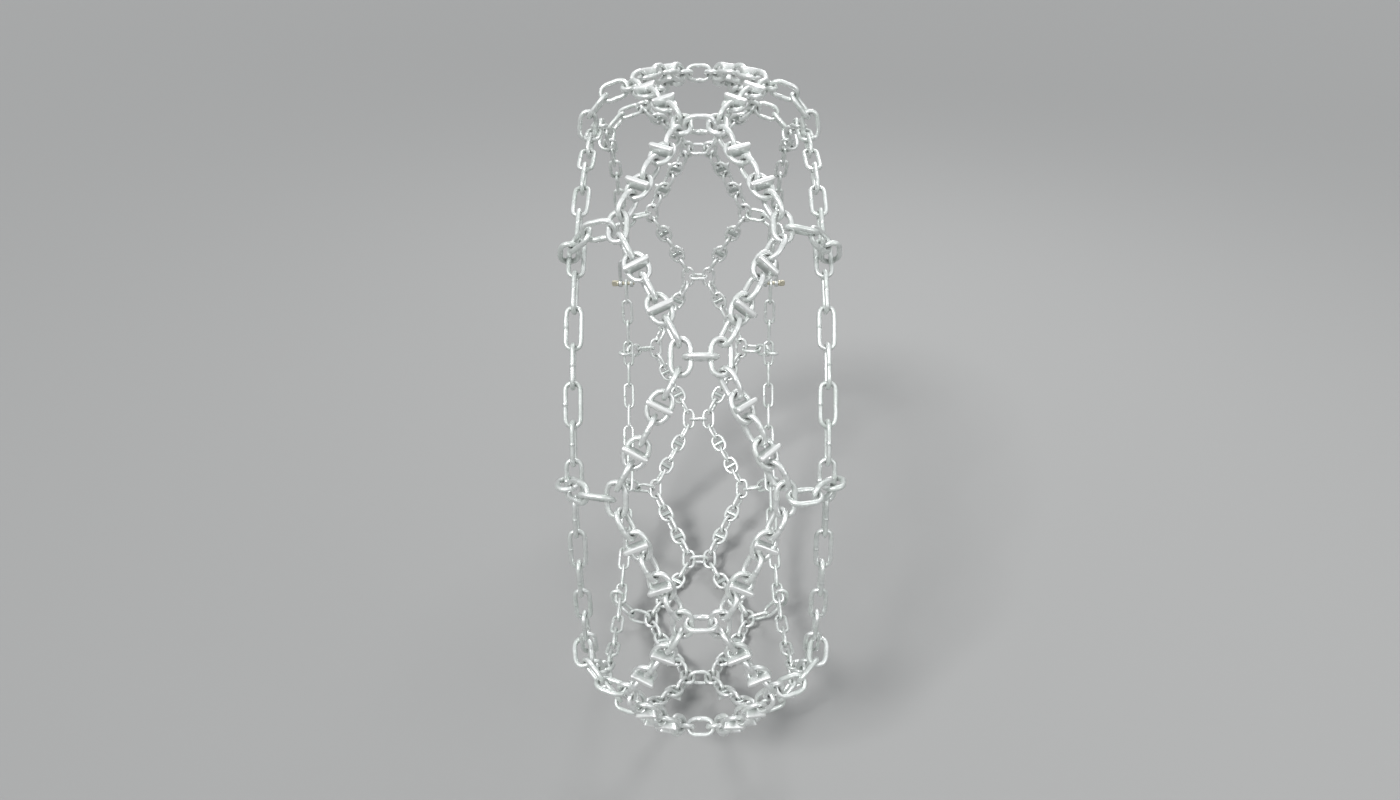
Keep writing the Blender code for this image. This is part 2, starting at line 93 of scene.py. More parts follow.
# Screw pin of the shackle; the taper is the share of its radius that is left at its tip, and the step the
# length in which it widens to its collar
PIN_DIAMETER = 6 * MM
PIN_CLEARANCE = 0.35 * MM
PIN_RIM = 0.5 * MM
PIN_TAIL = 2 * MM
PIN_TIP_LENGTH = 0.4 * MM
PIN_TIP_TAPER = 0.7
THREAD_PITCH = 1 * MM
THREAD_DEPTH = 0.28 * MM
THREAD_PAST_EYE = 1 * MM
PIN_COLLAR_RADIUS = 5 * MM
PIN_COLLAR_LENGTH = 3 * MM
PIN_COLLAR_STEP = 0.01 * MM

# Wing of the screw pin: its outline's power, and from face to face its levels, in half thicknesses, with the
# share of the outline that each level has
PIN_WING_LENGTH = 9 * MM
PIN_WING_WIDTH = 11 * MM
PIN_WING_THICKNESS = 3.5 * MM
PIN_WING_POWER = 0.62
PIN_WING_LEVELS = ((-1, 0.55), (-1, 0.86), (-0.7, 0.97), (0, 1), (0.7, 0.97), (1, 0.86), (1, 0.55))

# Stud: a rib across the link, as half widths and heights of its section's cage, from the link's plane
STUD_SECTION = ((3.1 * MM, -2.3 * MM), (4.5 * MM, 0.4 * MM), (3.2 * MM, 4.6 * MM), (2.8 * MM, 9.2 * MM),
                (2.1 * MM, 10.2 * MM))
STUD_OVERHANG = 0.8 * MM
STUD_END = 1.4 * MM

# Ends of the stud: share of its width that is left, how much less deep and how much lower it would be at no
# width, and the share by which the foot is shorter than the ridge
STUD_END_WIDTH = 0.72
STUD_END_SHALLOWER = 0.1
STUD_END_DROP = 0.6 * MM
STUD_FOOT_SHORTER = 0.16

# Shares of the stud's height between which the painted shade on its flank falls and its ridge's rubbed mark
# rises
FLANK_SHADE_HEIGHTS = (0.12, 0.92)
RIDGE_MARK_HEIGHTS = (0.5, 1)

# Butt weld at mid-length of a link: how much it swells the wire, how far it spreads along it, where its
# sections lie in spreads, and how strong its mark is
WELD_BUMP = 0.16
WELD_SPREAD = 2.0 * MM
WELD_SECTIONS = (1.2, 0, -1.2)
WELD_MARK = 0.5

# Depth that wear takes off the outermost wire, and where the rubbed look sets in, from that depth outwards
RUB_DEPTH = 0.5 * MM
RUB_MARK_RANGE = (-0.2 * MM, 0.3 * MM)

# No chain lies dead straight: degrees that its links lean and turn in their places. Next to the second
# centre link, which faces the camera, a leg's plain and studded links lean to the right by the first pair,
# and elsewhere by the second pair. The lean sets in between two distances from the upright plane through the
# Y axis. A side tie's three links lean by one angle each, from the junction link down. LAY draws what each
# link differs by, within the spreads.
LEG_ROLL = {"left": ((9, 9), (-10, 0)), "right": ((34, 27), (14, 0))}
LEAN_RANGE = (60 * MM, 190 * MM)
TIE_ROLL = (24, 8, -6)
ROLL_SPREAD = 3.5
YAW_SPREAD = 1.4
LAY = np.random.default_rng(12)

# Fineness: points round a link's wire and round each end, along a leg's path, and of the shackle's parts
WIRE_SIDES = 5
END_STEPS = 5
PATH_SAMPLES = 200
BOW_SIDES = 14
BOW_BEND_STEPS = 15
BOW_LEG_STEPS = 5
EYE_SIDES = 28
PIN_SIDES = 24
STEPS_PER_THREAD = 4
WING_SIDES = 32
SHARP_ANGLE = math.radians(50)

# Zinc plate: repeats per metre of its bloom's patches, its grain and its spangle, and its relief
PATCH_SCALE = 46.0
GRAIN_SCALE = 900.0
SPANGLE_SCALE = 420.0
RELIEF_DEPTH = 0.2 * MM
RELIEF_STRENGTH = 0.25

# Colour of the plate under each mark, and how much of it shows. The first mark is painted shade, near black,
# where links hook into each other. The second gives the welds their dull grey, and paints shade on a stud's
# flank. The third is rubbed plate.
MARK_LOOKS = (("contact_shade", (0.10, 0.10, 0.095, 1), 0.9),
              ("weld_and_flank_shade", (0.36, 0.40, 0.38, 1), 0.70),
              ("ridge", (0.88, 0.89, 0.88, 1), 0.8))

# Finish of each slot: colour of the bright plate, colour of its bloom, share of bloom, and roughness
FINISHES = {
    "tread_chain": ((0.93, 0.945, 0.94), (0.76, 0.80, 0.77), 0.80, 0.34),
    "centre_link": ((0.94, 0.955, 0.95), (0.78, 0.82, 0.79), 0.75, 0.33),
    "side_tie": ((0.91, 0.93, 0.92), (0.70, 0.75, 0.715), 0.85, 0.37),
    "side_chain": ((0.90, 0.92, 0.91), (0.68, 0.73, 0.695), 0.85, 0.38),
    "shackle_bow": ((0.76, 0.78, 0.77), (0.50, 0.53, 0.51), 0.7, 0.36),
    "shackle_pin": ((0.74, 0.70, 0.56), (0.48, 0.46, 0.37), 0.5, 0.32),
}

# Inputs and output of a colour Mix node
MIX_FIRST = 6
MIX_SECOND = 7
MIX_RESULT = 2

# Camera: the photograph's viewing angle, in a frame of 1400 by 800 pixels
PHOTO_FOCAL_PIXELS = 888
PHOTO_WIDTH_PIXELS = 1400
SENSOR_WIDTH = 36
CAMERA_DISTANCE = 1.2388
CAMERA_ELEVATION = math.radians(30.9)
CAMERA_SIDEWAYS = -4 * MM
AIM = Vector((0, 1 * MM, -2 * MM))

# Floor, backdrop and sky. At the horizon the backdrop is as grey as the lit floor, and it is nearly white
# where a direction rises by more than the zenith's start.
FLOOR_HALF_WIDTH = 30
FLOOR_GAP = 1 * MM
FLOOR_COLOUR = (0.46, 0.46, 0.456, 1)
FLOOR_ROUGHNESS = 0.9
HORIZON_COLOUR = (0.395, 0.40, 0.40, 1)
ZENITH_COLOUR = (0.88, 0.89, 0.90, 1)
ZENITH_START = 0.45
SKY_COLOUR = (0.93, 0.97, 1, 1)
SKY_STRENGTH = 0.33

# Worked out from the sizes above
NET_RADIUS = NET_INNER_RADIUS + PLAIN_WIDTH / 2
RUBBED_RADIUS = NET_RADIUS + PLAIN_WIDTH / 2 - RUB_DEPTH
PITCH_ANGLE = 2 * math.pi / DIAMONDS
LINKS_PER_LEG = 2 * STUDS_PER_LEG + 1
SIDE_LINKS_PER_DIAMOND = 2 * SIDE_PAIRS_PER_DIAMOND
SIDE_LINKS = DIAMONDS * SIDE_LINKS_PER_DIAMOND
SIDE_STEP = 2 * math.pi / SIDE_LINKS
SHACKLE_PLACE = SIDE_LINKS_PER_DIAMOND * SHACKLE_DIAMOND + 2
EYE_REACH = SHACKLE_INNER_WIDTH / 2 + SHACKLE_WIRE
EYE_HOLE_RADIUS = PIN_DIAMETER / 2 + PIN_CLEARANCE
COLLAR_PLACE = EYE_REACH + PIN_CLEARANCE
HEAD_PLACE = COLLAR_PLACE + PIN_COLLAR_LENGTH


def radial(angle):
    """Unit vector outwards at an angle round the net."""
    return np.array((math.cos(angle), 0, math.sin(angle)))


def along(angle):
    """Unit vector along the net at an angle round it."""
    return np.array((-math.sin(angle), 0, math.cos(angle)))


def frame_at(middle, axis, normal):
    """4 by 4 matrix of a link: its long axis, its width and the normal of its plane, at its middle."""
    axis = axis / np.linalg.norm(axis)
    across = np.cross(normal, axis)
    across /= np.linalg.norm(across)
    matrix = np.eye(4)
    matrix[:3, :3] = np.stack((axis, across, np.cross(axis, across)), axis=1)
    matrix[:3, 3] = middle
    return matrix


def turned(matrix, angle):
    """The matrix turned about the Y axis by an angle round the net."""
    turn = np.eye(4)
    turn[:3, :3] = np.stack((radial(angle), (0, 1, 0), along(angle)), axis=1)
    return turn @ matrix


def laid(matrix, roll, yaw=0):
    """A link's matrix, rolled about its long axis and turned in its own plane, in degrees."""
    rolled = np.array(Matrix.Rotation(math.radians(roll), 4, "X"))
    return matrix @ rolled @ np.array(Matrix.Rotation(math.radians(yaw), 4, "Z"))


def end_arc_radius(width, wire):
    """Radius of the wire's centreline round the end of a link."""
    return (width - wire) / 2


def end_arc_centre(length, width, wire):
    """Distance from a link's middle to the centre of its end arc."""
    return (length + wire) / 2 - end_arc_radius(width, wire)


JUNCTION_OFFSET = (CENTRE_LENGTH - TREAD_WIRE) / 2 + end_arc_radius(JUNCTION_WIDTH, TREAD_WIRE)
JUNCTION_REACH = end_arc_centre(JUNCTION_LENGTH, JUNCTION_WIDTH, TREAD_WIRE)
JUNCTION_ARC = end_arc_radius(JUNCTION_WIDTH, TREAD_WIRE)


def crown_radius(offset):
    """Radius of the net at an offset y from its middle: R - C + the square root of C C - y y.

    R is the net's radius in the middle, and C the radius of its crown.
    """
    return NET_RADIUS - CROWN_RADIUS + np.sqrt(CROWN_RADIUS ** 2 - offset ** 2)


def on_tread(turn, offset):
    """Point of the net at an angle round it and an offset from its middle."""
    return crown_radius(offset) * radial(turn) + np.array((0, offset, 0))


def tread_normal(turn, offset):
    """Unit vector out of the crowned net: it slopes outboard by the arc sine of y over C."""
    slope = math.asin(offset / CROWN_RADIUS)
    return math.cos(slope) * radial(turn) + np.array((0, math.sin(slope), 0))


def leg_stops():
    """Angles and offsets where a leg's links meet: equal steps along a straight line on the unrolled net."""
    first_turn = JUNCTION_REACH / crown_radius(JUNCTION_OFFSET)
    last_turn = PITCH_ANGLE / 2 - JUNCTION_REACH / crown_radius(OUTER_JUNCTION_OFFSET)
    turns = np.linspace(first_turn, last_turn, PATH_SAMPLES)
    offsets = np.linspace(JUNCTION_OFFSET, OUTER_JUNCTION_OFFSET, PATH_SAMPLES)
    radii = crown_radius(offsets)
    path = np.stack((radii * np.cos(turns), offsets, radii * np.sin(turns)))
    way = np.cumsum(np.linalg.norm(np.diff(path, prepend=path[:, :1]), axis=0))
    inside = JUNCTION_ARC - TREAD_WIRE / 2
    stops = np.linspace(inside, way[-1] - inside, LINKS_PER_LEG + 1)
    return np.stack((np.interp(stops, way, turns), np.interp(stops, way, offsets)), axis=1)


LEG_STOPS = leg_stops()
LEG_LINK_LENGTH = np.linalg.norm(on_tread(*LEG_STOPS[1]) - on_tread(*LEG_STOPS[0]))


def leg_frames(stops):
    """Matrices of the links between a leg's stops; plain and studded links take turns."""
    frames = []
    for step, (near, far) in enumerate(zip(stops, stops[1:])):
        start, end = on_tread(*near), on_tread(*far)
        outward = tread_normal(*(near + far) / 2)
        normal = outward if step % 2 == 1 else np.cross(end - start, outward)
        frames.append(frame_at((start + end) / 2, end - start, normal))
    return frames


def meridional(degrees, side):
    """Unit vector in the net's cross-section at angle 0: 0 points outboard, and 90 inwards to the Y axis."""
    turn = math.radians(degrees)
    return np.array((-math.sin(turn), side * math.cos(turn), 0))


def tie_layout(side):
    """Matrices of a side tie's three links at angle 0, and the side chain's wire centre that it holds.

    The links turn inwards by equal steps from the junction link. Where two of them hook on each other, the
    wire of one lies inside the end arc of the other, one wire's thickness in from its centreline, in the
    direction half-way between the two links.
    """
    first, second, third = (meridional(TIE_START_ANGLE + step * TIE_TURN, side) for step in range(3))
    upper = meridional(TIE_START_ANGLE + TIE_TURN / 2, side)
    lower = meridional(TIE_START_ANGLE + 3 * TIE_TURN / 2, side)
    arc = end_arc_radius(TIE_WIDTH, TREAD_WIRE)
    half = (TIE_LENGTH + TREAD_WIRE) / 2
    forward = np.array((0, 0, side))
    slope = math.degrees(math.asin(OUTER_JUNCTION_OFFSET / CROWN_RADIUS))
    anchor = on_tread(0, side * OUTER_JUNCTION_OFFSET) + JUNCTION_ARC * meridional(slope, side)
    hook = anchor - TREAD_WIRE * first
    frames = [frame_at(hook + half * first, first, forward)]
    hook = hook + (2 * half - arc) * first + (arc - TREAD_WIRE) * upper
    frames.append(frame_at(hook + half * second, second, np.cross(forward, second)))
    hook = hook + 2 * half * second + (arc - TREAD_WIRE) * lower
    frames.append(frame_at(hook + (half - arc) * third, third, forward))
    hook = hook + (2 * half - arc) * third
    return frames, hook - (TREAD_WIRE + SIDE_WIRE) / 2 * third


def side_layout(side):
    """Offset of a side chain from the net's middle plane, and the radius at which its links meet."""
    _, held = tie_layout(side)
    return held[1] - side * end_arc_radius(SIDE_WIDTH, SIDE_WIRE), held[0] / math.cos(SIDE_STEP / 2)


def side_frame(number, side):
    """Matrix of a side link, counted from the one that the first tie holds; every second one is upright."""
    offset, radius = side_layout(side)
    turn = PITCH_ANGLE / 2 + number * SIDE_STEP
    middle = radius * math.cos(SIDE_STEP / 2) * radial(turn) + np.array((0, offset, 0))
    return frame_at(middle, along(turn), radial(turn) if number % 2 == 0 else np.array((0, 1, 0)))


def shackle_frame(side):
    """Matrix of the shackle: along its legs, along its pin with + outboard, and out of the net."""
    matrix = side_frame(SHACKLE_PLACE, side)
    return matrix if matrix[1, 1] * side > 0 else laid(matrix, 180)


SIDE_LENGTH = 2 * side_layout(1)[1] * math.sin(SIDE_STEP / 2)
PIN_CENTRE = (SIDE_LENGTH + PIN_DIAMETER) / 2


def grid_faces(rows, columns):
    """Quads of a surface that closes both ways, as row and column indices of a grid of points."""
    row = np.arange(rows)[:, None]
    column = np.arange(columns)[None, :]
    here = row * columns + column
    right = row * columns + (column + 1) % columns
    below = (row + 1) % rows * columns + column
    diagonal = (row + 1) % rows * columns + (column + 1) % columns
    return np.stack((here, below, diagonal, right), axis=-1).reshape(-1, 4)


def spline_weights(count):
    """Matrix from a closed row of cage points to the smooth surface: 4, and 1 for each neighbour, over 6."""
    row = np.eye(count) * 4 + np.roll(np.eye(count), 1, axis=1) + np.roll(np.eye(count), -1, axis=1)
    return row / 6


def cage_through(points):
    """Cage of a closed surface whose smooth surface passes through a grid of points.

    It is the grid times the inverse of the spline's weights, both along its rows and along its columns.
    """
    rows = np.linalg.inv(spline_weights(points.shape[0]))
    columns = np.linalg.inv(spline_weights(points.shape[1]))
    return np.einsum("ij,jkc,lk->ilc", rows, points, columns)


def capped_tube(points, marks):
    """Points, faces and marks of an open tube, rows along and columns round, closed by a fan at each end.

    The faces point outwards where the columns run anticlockwise for someone who looks from the last row back
    to the first.
    """
    rows, columns = points.shape[:2]
    faces = grid_faces(rows, columns).reshape(rows, columns, 4)[:-1].reshape(-1, 4)[:, ::-1]
    flat = points.reshape(-1, 3)
    caps = np.stack((points[0].mean(axis=0), points[-1].mean(axis=0)))
    column = np.arange(columns)
    following = (column + 1) % columns
    low = np.full(columns, rows * columns)
    high = low + 1
    last = (rows - 1) * columns
    fans = np.concatenate((np.stack((following, column, low), axis=1),
                           np.stack((last + column, last + following, high), axis=1)))
    tips = np.stack((marks[0].mean(axis=0), marks[-1].mean(axis=0)))
    return np.concatenate((flat, caps)), [faces, fans], np.concatenate((marks.reshape(-1, 3), tips))


def round_link(length, width, wire, welded=True):
    """A link of round wire, as a grid of points and their marks.

    With t the way round the link and v the way round the wire, a point is
    C(t) + r(t) (cos v N(t) + sin v Z). C runs along a stadium, two straight sides joined by half circles, N
    is its outward normal and Z the link's normal. The radius r swells at mid-length of the welded side by a
    bell curve, and so does the weld's mark. The painted shade where the next link hooks in is strongest on
    the inside of each end.
    """
    arc = end_arc_radius(width, wire)
    centre = end_arc_centre(length, width, wire)
    ends = np.linspace(-math.pi / 2, math.pi / 2, END_STEPS)
    seam = np.array(WELD_SECTIONS if welded else (0,)) * WELD_SPREAD
    back = np.zeros(1)
    x = np.concatenate((centre + arc * np.cos(ends), seam, -centre - arc * np.cos(ends), back))
    y = np.concatenate((arc * np.sin(ends), seam * 0 + arc, -arc * np.sin(ends), back - arc))
    turn = np.concatenate((ends, seam * 0 + math.pi / 2, ends + math.pi, back - math.pi / 2))
    bell = np.zeros(len(x))
    if welded:
        bell[len(ends):len(ends) + len(seam)] = np.exp(-(seam / WELD_SPREAD) ** 2)
    radius = wire / 2 * (1 + WELD_BUMP * bell)
    v = np.linspace(0, 2 * math.pi, WIRE_SIDES, endpoint=False)
    reach = radius[:, None] * np.cos(v)[None, :]
    points = np.stack((x[:, None] + reach * np.cos(turn)[:, None],
                       y[:, None] + reach * np.sin(turn)[:, None],
                       radius[:, None] * np.sin(v)[None, :]), axis=-1)
    # Painted shade on the inside of each end, where the next link hooks in
    inside = np.clip(-np.cos(v), 0, 1)[None, :]
    crown = np.clip((np.abs(x) - centre) / arc, 0, 1)[:, None] ** 2
    weld_and_flank_shade = np.repeat(bell[:, None] * WELD_MARK, WIRE_SIDES, axis=1)
    marks = np.stack((inside * crown, weld_and_flank_shade, np.zeros(weld_and_flank_shade.shape)), axis=-1)
    return points, marks


def rib_stud(width):
    """The stud: a rib across the link, as the points, faces and marks of its cage.

    With t the way across the link and v the way round the section, a point is
    (s(t) x(v), t (1 - f(v)), z). The section's half width x is wide at the foot and narrow at the ridge, s
    narrows the rib at both ends, and f makes its foot shorter than its ridge. The height z is the section's
    own, and a little lower at both ends.
    """
    half, rise = np.array(STUD_SECTION).T
    section_x = np.concatenate((half, -half[::-1]))
    section_z = np.concatenate((rise, rise[::-1]))
    reach = width / 2 + STUD_OVERHANG
    stations = np.array((-reach, -reach + STUD_END, 0, reach - STUD_END, reach))
    widths = np.array((STUD_END_WIDTH, 1, 1, 1, STUD_END_WIDTH))[:, None]
    top = rise[-1]
    depth = (top - section_z)[None, :]
    x = widths * section_x[None, :]
    y = stations[:, None] * (1 - np.clip(depth / top, 0, 1) * STUD_FOOT_SHORTER)
    z = top - depth * (1 - STUD_END_SHALLOWER * (1 - widths)) - STUD_END_DROP * (1 - widths)
    # Painted shade on the flank, darker towards the foot, in the same mark as the welds' dull grey
    flank_shade = np.interp(section_z / top, FLANK_SHADE_HEIGHTS, (1, 0))
    ridge = np.interp(section_z / top, RIDGE_MARK_HEIGHTS, (0, 1))
    marks = np.repeat(np.stack((0 * ridge, flank_shade, ridge), axis=-1)[None], len(stations), axis=0)
    return capped_tube(np.stack((x, y, z), axis=-1)[::-1], marks)


def bow_bar():
    """The bow's bar: a round section carried along two legs and the half circle between them.

    With t the way along the bar and v the way round it, a point is C(t) + r (cos v N(t) + sin v Z). N is
    the path's normal and Z the bow's. Each leg ends inside its eye's wall, half-way from hole to outside.
    """
    arc = (SHACKLE_INNER_WIDTH + SHACKLE_WIRE) / 2
    centre = arc - (SIDE_LENGTH + SHACKLE_WIRE) / 2 - SHACKLE_PLAY
    bend = np.linspace(0, math.pi, BOW_BEND_STEPS)
    leg_end = PIN_CENTRE - (SHACKLE_EYE_RADIUS + EYE_HOLE_RADIUS) / 2
    leg = np.linspace(leg_end, centre, BOW_LEG_STEPS, endpoint=False)
    straight = np.zeros(BOW_LEG_STEPS)
    x = np.concatenate((leg, centre - arc * np.sin(bend), leg[::-1]))
    y = np.concatenate((straight - arc, -arc * np.cos(bend), straight + arc))
    turn = np.concatenate((straight, bend, straight + math.pi))
    v = np.linspace(0, 2 * math.pi, BOW_SIDES, endpoint=False)
    reach = SHACKLE_WIRE / 2 * np.cos(v)[None, :]
    points = np.stack((x[:, None] - reach * np.sin(turn)[:, None],
                       y[:, None] - reach * np.cos(turn)[:, None],
                       np.repeat(SHACKLE_WIRE / 2 * np.sin(v)[None, :], len(x), axis=0)), axis=-1)
    # Painted shade on the inside of the bend, where the side link hooks in
    contact_shade = np.clip(-np.cos(v), 0, 1)[None, :] * np.clip((centre - x) / arc, 0, 1)[:, None] ** 2
    marks = np.stack((contact_shade, np.zeros(contact_shade.shape), np.zeros(contact_shade.shape)), axis=-1)
    return capped_tube(points, marks)


def bow_eye(sign):
    """One eye of the bow: a closed profile of radius r and place p, turned round the pin's axis.

    With v the way round the profile and a the angle, a point is (X + r(v) cos a, p(v), r(v) sin a), where X
    is the pin's centre. The profile bevels the edges of the hole and rounds the outer ones. The angle falls
    from step to step, so that the faces point outwards.
    """
    inner, outer = SHACKLE_INNER_WIDTH / 2, EYE_REACH
    corner = EYE_RIM * EYE_CORNER
    radii, depths = np.array(((EYE_HOLE_RADIUS, EYE_RIM / 2), (EYE_HOLE_RADIUS + EYE_RIM / 2, 0),
                              (SHACKLE_EYE_RADIUS - EYE_RIM, 0), (SHACKLE_EYE_RADIUS - corner, corner),
                              (SHACKLE_EYE_RADIUS, EYE_RIM))).T
    radii = np.concatenate((radii, radii[::-1]))
    places = np.concatenate((inner + depths, outer - depths[::-1]))
    if sign < 0:
        places = -places[::-1]
    angle = np.linspace(2 * math.pi, 0, EYE_SIDES, endpoint=False)[:, None]
    points = np.stack((PIN_CENTRE + radii * np.cos(angle),
                       np.repeat(places[None, :], EYE_SIDES, axis=0),
                       radii * np.sin(angle)), axis=-1)
    return points.reshape(-1, 3), [grid_faces(EYE_SIDES, len(radii))], np.zeros((EYE_SIDES * len(radii), 3))


def screw_pin():
    """The pin: a profile of place p and radius r, turned round the pin's axis, with a thread cut into it.

    A point at angle a is (X + (r - w) sin a, p, (r - w) cos a). Along the thread the cut w is a zigzag of
    p / pitch - a / 2 pi, so that its valleys run round the pin as a helix.
    """
    thread_end = THREAD_PAST_EYE - SHACKLE_INNER_WIDTH / 2
    tail = -EYE_REACH - PIN_TAIL
    core = PIN_DIAMETER / 2
    thread = np.arange(tail + PIN_TIP_LENGTH, thread_end, THREAD_PITCH / STEPS_PER_THREAD)
    head = ((thread_end + PIN_RIM, core), (0, core), (COLLAR_PLACE - PIN_COLLAR_STEP, core),
            (COLLAR_PLACE, PIN_COLLAR_RADIUS - PIN_RIM), (COLLAR_PLACE + PIN_RIM, PIN_COLLAR_RADIUS),
            (HEAD_PLACE - PIN_RIM, PIN_COLLAR_RADIUS), (HEAD_PLACE, PIN_COLLAR_RADIUS - PIN_RIM))
    threaded = np.stack((thread, np.full(len(thread), core)), axis=1)
    places, radii = np.concatenate((((tail, core * PIN_TIP_TAPER),), threaded, head)).T
    angle = np.linspace(0, 2 * math.pi, PIN_SIDES, endpoint=False)
    phase = thread[:, None] / THREAD_PITCH - angle[None, :] / (2 * math.pi)
    cut = np.zeros((len(places), PIN_SIDES))
    cut[1:1 + len(thread)] = THREAD_DEPTH * np.abs(2 * (phase % 1) - 1)
    radius = radii[:, None] - cut
    points = np.stack((PIN_CENTRE + radius * np.sin(angle)[None, :],
                       np.repeat(places[:, None], PIN_SIDES, axis=1),
                       radius * np.cos(angle)[None, :]), axis=-1)
    return capped_tube(points, np.zeros(points.shape))


def pin_wing():
    """The wing: a rounded plate whose outline is a superellipse, smaller at its two faces.

    With a the angle and l the level, a point is the wing's centre plus (k(l) A c(a), k(l) B s(a), l). c
    and s are the cosine and the sine to a power below 1, with their signs kept, and k is the level's share.
    """
    low, high = HEAD_PLACE - PIN_COLLAR_LENGTH / 2, HEAD_PLACE + PIN_WING_LENGTH
    angle = np.linspace(0, 2 * math.pi, WING_SIDES, endpoint=False)
    out_x = np.sign(np.cos(angle)) * np.abs(np.cos(angle)) ** PIN_WING_POWER * PIN_WING_WIDTH / 2
    out_y = np.sign(np.sin(angle)) * np.abs(np.sin(angle)) ** PIN_WING_POWER * (high - low) / 2
    level, share = np.array(PIN_WING_LEVELS).T
    points = np.stack((PIN_CENTRE + share[:, None] * out_x[None, :],
                       (low + high) / 2 + share[:, None] * out_y[None, :],
                       np.repeat(level[:, None] * PIN_WING_THICKNESS / 2, WING_SIDES, axis=1)), axis=-1)
    return capped_tube(points, np.zeros(points.shape))


PARTS = {
    "plain": round_link(LEG_LINK_LENGTH, PLAIN_WIDTH, TREAD_WIRE),
    "studded": round_link(LEG_LINK_LENGTH, STUDDED_WIDTH, TREAD_WIRE, welded=False),
    "stud": rib_stud(STUDDED_WIDTH),
    "junction": round_link(JUNCTION_LENGTH, JUNCTION_WIDTH, TREAD_WIRE),
    "centre": round_link(CENTRE_LENGTH, PLAIN_WIDTH, TREAD_WIRE),
    "tie": round_link(TIE_LENGTH, TIE_WIDTH, TREAD_WIRE),
    "side": round_link(SIDE_LENGTH, SIDE_WIDTH, SIDE_WIRE),
}


class Surface:
    """Points, faces and marks of one piece, gathered from many placed parts.

    The three marks of a point are how much painted shade it takes where links hook into each other, how
    much it lies on a weld or takes painted shade on a stud's flank, and how much it lies on a rubbed ridge.
    """

    def __init__(self):
        self.points = []
        self.faces = []
        self.marks = []
        self.count = 0

    def take(self, points, faces, marks):
        """Add points, face arrays and marks that are already in their place."""
        self.points.append(points)
        self.faces += [array + self.count for array in faces]
        self.marks.append(marks)
        self.count += len(points)

    def add(self, part, matrix):
        """Place a part, which is (points, list of face arrays, marks), by a 4 by 4 matrix."""
        points, faces, marks = part
        self.take(points @ matrix[:3, :3].T + matrix[:3, 3], faces, marks)

    def add_link(self, part, matrix):
        """Place a link's grid, rub off what stands out past the rubbed radius, and add the grid's cage."""
        grid, marks = part
        placed = grid @ matrix[:3, :3].T + matrix[:3, 3]
        radius = np.hypot(placed[..., 0], placed[..., 2])
        rubbed = np.minimum(1, RUBBED_RADIUS / radius)
        placed[..., 0] *= rubbed
        placed[..., 2] *= rubbed
        marks = marks.copy()
        marks[..., 2] += np.interp(radius - RUBBED_RADIUS, RUB_MARK_RANGE, (0, 1))
        cage = cage_through(placed)
        self.take(cage.reshape(-1, 3), [grid_faces(*cage.shape[:2])], marks.reshape(-1, 3))

    def piece(self, name, finish, body, node, smooth=True):
        """Make the mesh object, put its finish on it and let it stand for its node."""
        slot, material = finish
        mesh = bpy.data.meshes.new(name)
        corners = np.concatenate([array.reshape(-1) for array in self.faces])
        sizes = np.concatenate([np.full(len(array), array.shape[1]) for array in self.faces])
        mesh.vertices.add(self.count)
        mesh.loops.add(len(corners))
        mesh.polygons.add(len(sizes))
        mesh.vertices.foreach_set("co", np.concatenate(self.points).astype(np.float32).ravel())
        mesh.loops.foreach_set("vertex_index", corners.astype(np.int32))
        starts = np.concatenate(([0], np.cumsum(sizes)[:-1])).astype(np.int32)
        mesh.polygons.foreach_set("loop_start", starts)
        mesh.update(calc_edges=True)
        mesh.shade_smooth()
        marks = np.concatenate(self.marks).astype(np.float32)
        for column, (label, _, _) in enumerate(MARK_LOOKS):
            layer = mesh.attributes.new(label, "FLOAT", "POINT")
            layer.data.foreach_set("value", np.ascontiguousarray(marks[:, column]))
        mesh.materials.append(material)
        piece = bpy.data.objects.new(name, mesh)
        bpy.context.scene.collection.objects.link(piece)
        if smooth:
            cage = piece.modifiers.new("smooth_wire", "SUBSURF")
            cage.levels = 1
            cage.render_levels = 1
            cage.use_limit_surface = True
            # Triangles come last, so that the piece's box is its smooth surface's and not its cage's
            piece.modifiers.new("triangles", "TRIANGULATE")
        else:
            mesh.set_sharp_from_angle(angle=SHARP_ANGLE)
        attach(piece, body)
        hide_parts(node)


def new_node(tree, kind, **settings):
    """Add a shader node and set its properties, and its inputs by name or number."""
    node = tree.nodes.new(kind)
    for key, value in settings.items():
        if key == "inputs":
            for name, given in value.items():
                node.inputs[name].default_value = given
        else:
            setattr(node, key, value)
    return node


